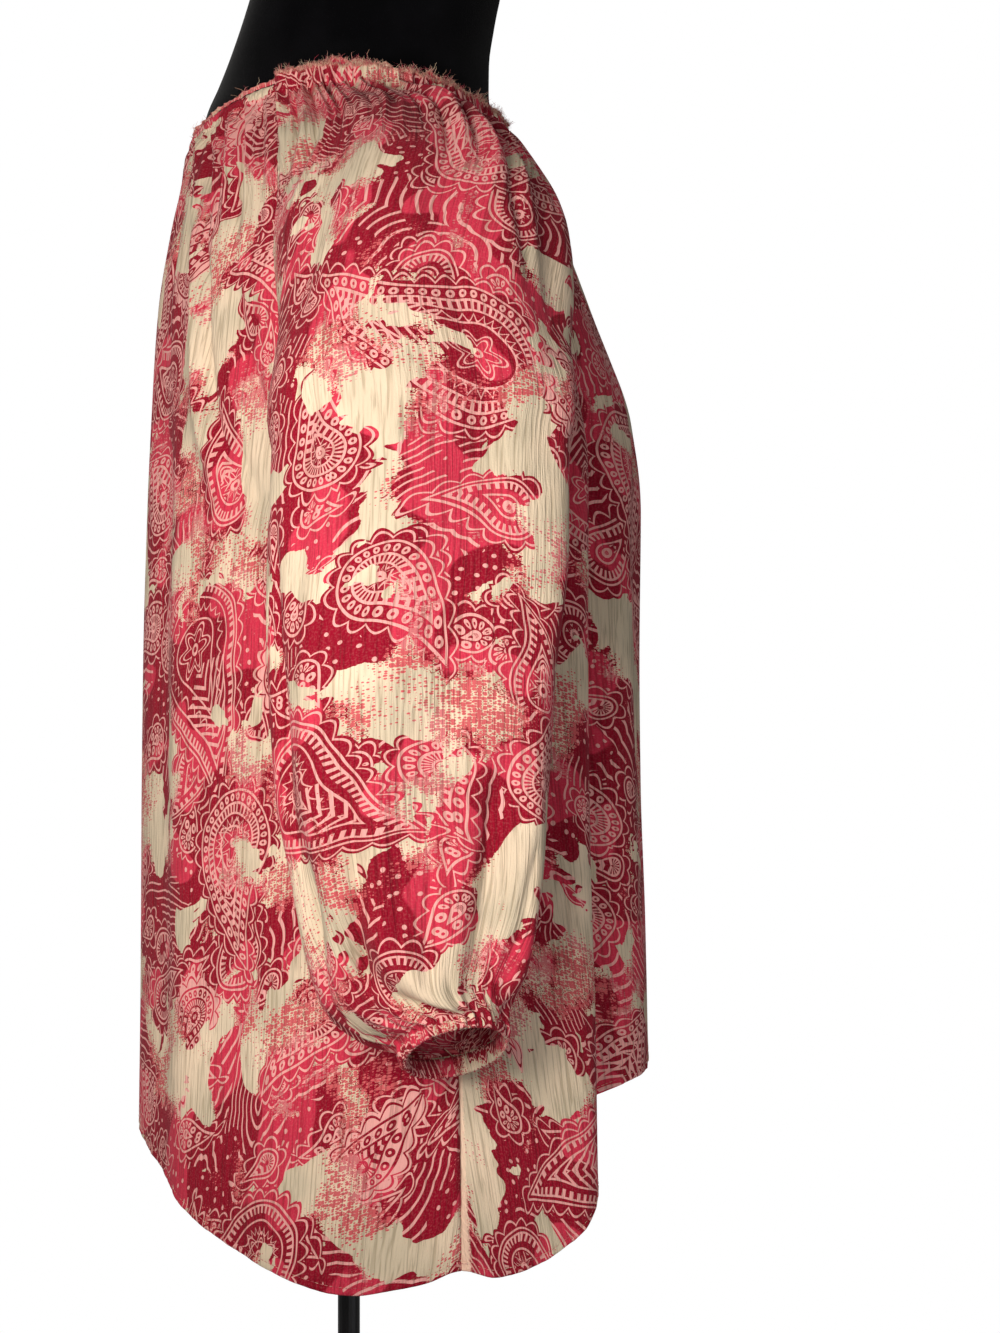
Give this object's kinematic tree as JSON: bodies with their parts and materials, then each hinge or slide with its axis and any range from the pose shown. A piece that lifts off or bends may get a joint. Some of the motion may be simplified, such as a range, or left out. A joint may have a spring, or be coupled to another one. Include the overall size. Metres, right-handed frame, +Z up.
{
  "type": "peasant blouse on dress form",
  "caption": "Loose raglan peasant blouse with a gathered raw-edged neckline, full elastic-cuffed sleeves and a hem longer at the sides, worn by a limbless dress form on a pole.",
  "frame": {"origin": "centre of the base's underside, on the pole's axis", "axes": "+Z up, -Y the wearer's front, -X the wearer's right side"},
  "size_m": [0.5452, 0.3085, 1.041],
  "materials": {
    "front_cloth": "matte crinkled chiffon, crimson paisley on cream",
    "back_cloth": "matte crinkled chiffon, crimson paisley on cream",
    "sleeve_cloth": "matte crinkled chiffon, crimson paisley on cream",
    "edge_cloth": "gathered chiffon",
    "velvet": "black velvet",
    "painted_steel": "satin black"
  },
  "bodies": {
    "root": {"front": "front_cloth", "back": "back_cloth", "sleeve_right": "sleeve_cloth", "sleeve_left": "sleeve_cloth", "neck_casing": "edge_cloth", "neck_frill": "edge_cloth", "cuff_right": "edge_cloth", "cuff_left": "edge_cloth", "form": "velvet", "pole": "painted_steel", "base": "painted_steel"}
  },
  "joints": []
}
